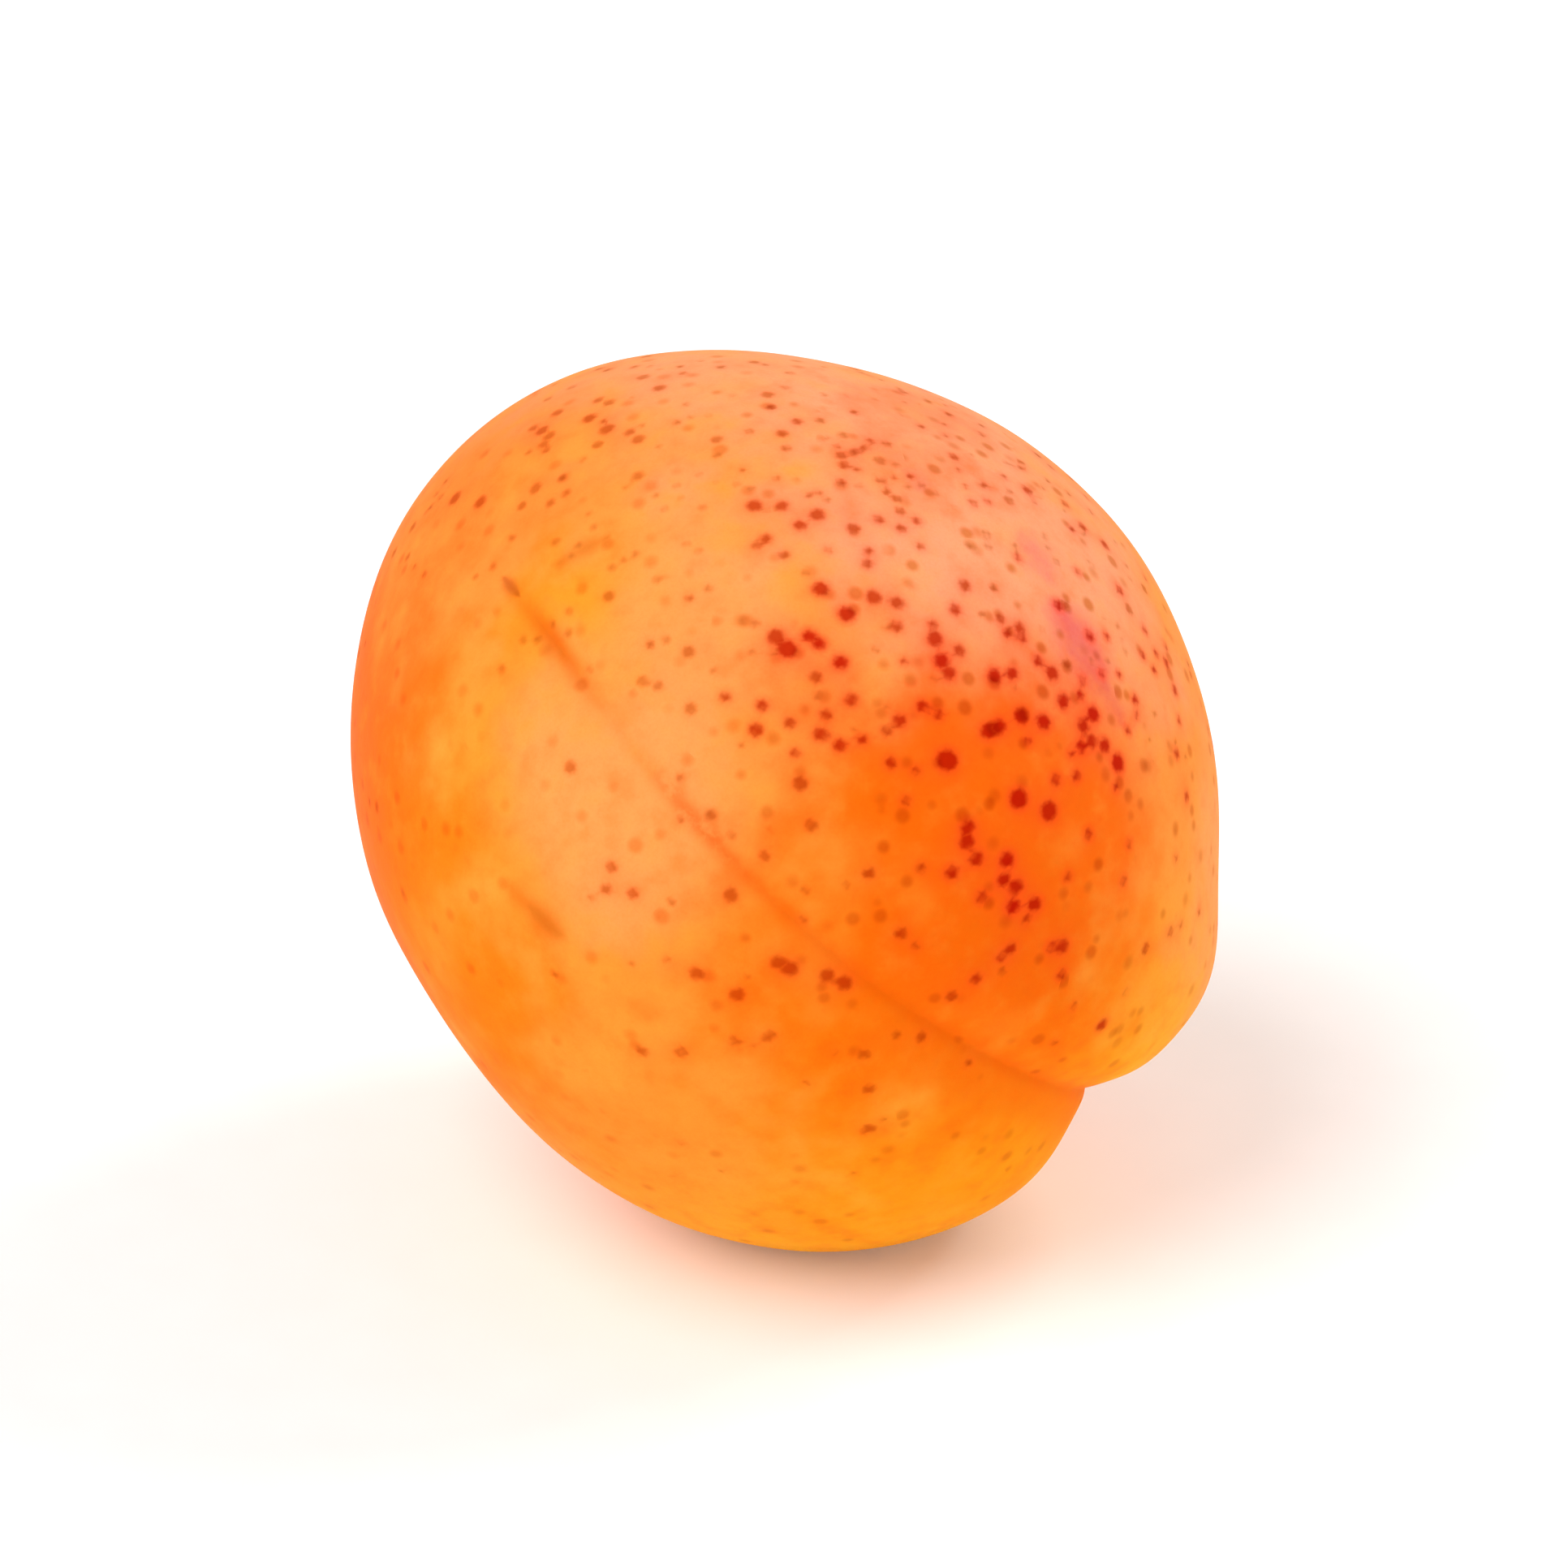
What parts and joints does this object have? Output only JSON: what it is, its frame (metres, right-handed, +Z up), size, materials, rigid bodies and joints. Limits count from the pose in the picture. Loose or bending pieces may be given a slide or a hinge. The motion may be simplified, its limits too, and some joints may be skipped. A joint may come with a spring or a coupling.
{
  "type": "apricot",
  "caption": "Ripe whole apricot with a velvety orange skin, red freckles on one cheek, a suture groove and a hollow at the stem, lying on its side on a small flat spot.",
  "frame": {"origin": "centre of the fruit's footprint box, at the height of the surface it rests on", "axes": "+Z up from the resting spot; -Y towards the viewer who sees the suture run from the apex at upper left to the stem end at lower right; +X to that viewer's right"},
  "size_m": [0.0438, 0.046, 0.0438],
  "materials": {
    "skin": "velvety peach-orange skin with dark red freckles"
  },
  "bodies": {
    "root": {"apricot": "skin"}
  },
  "joints": []
}
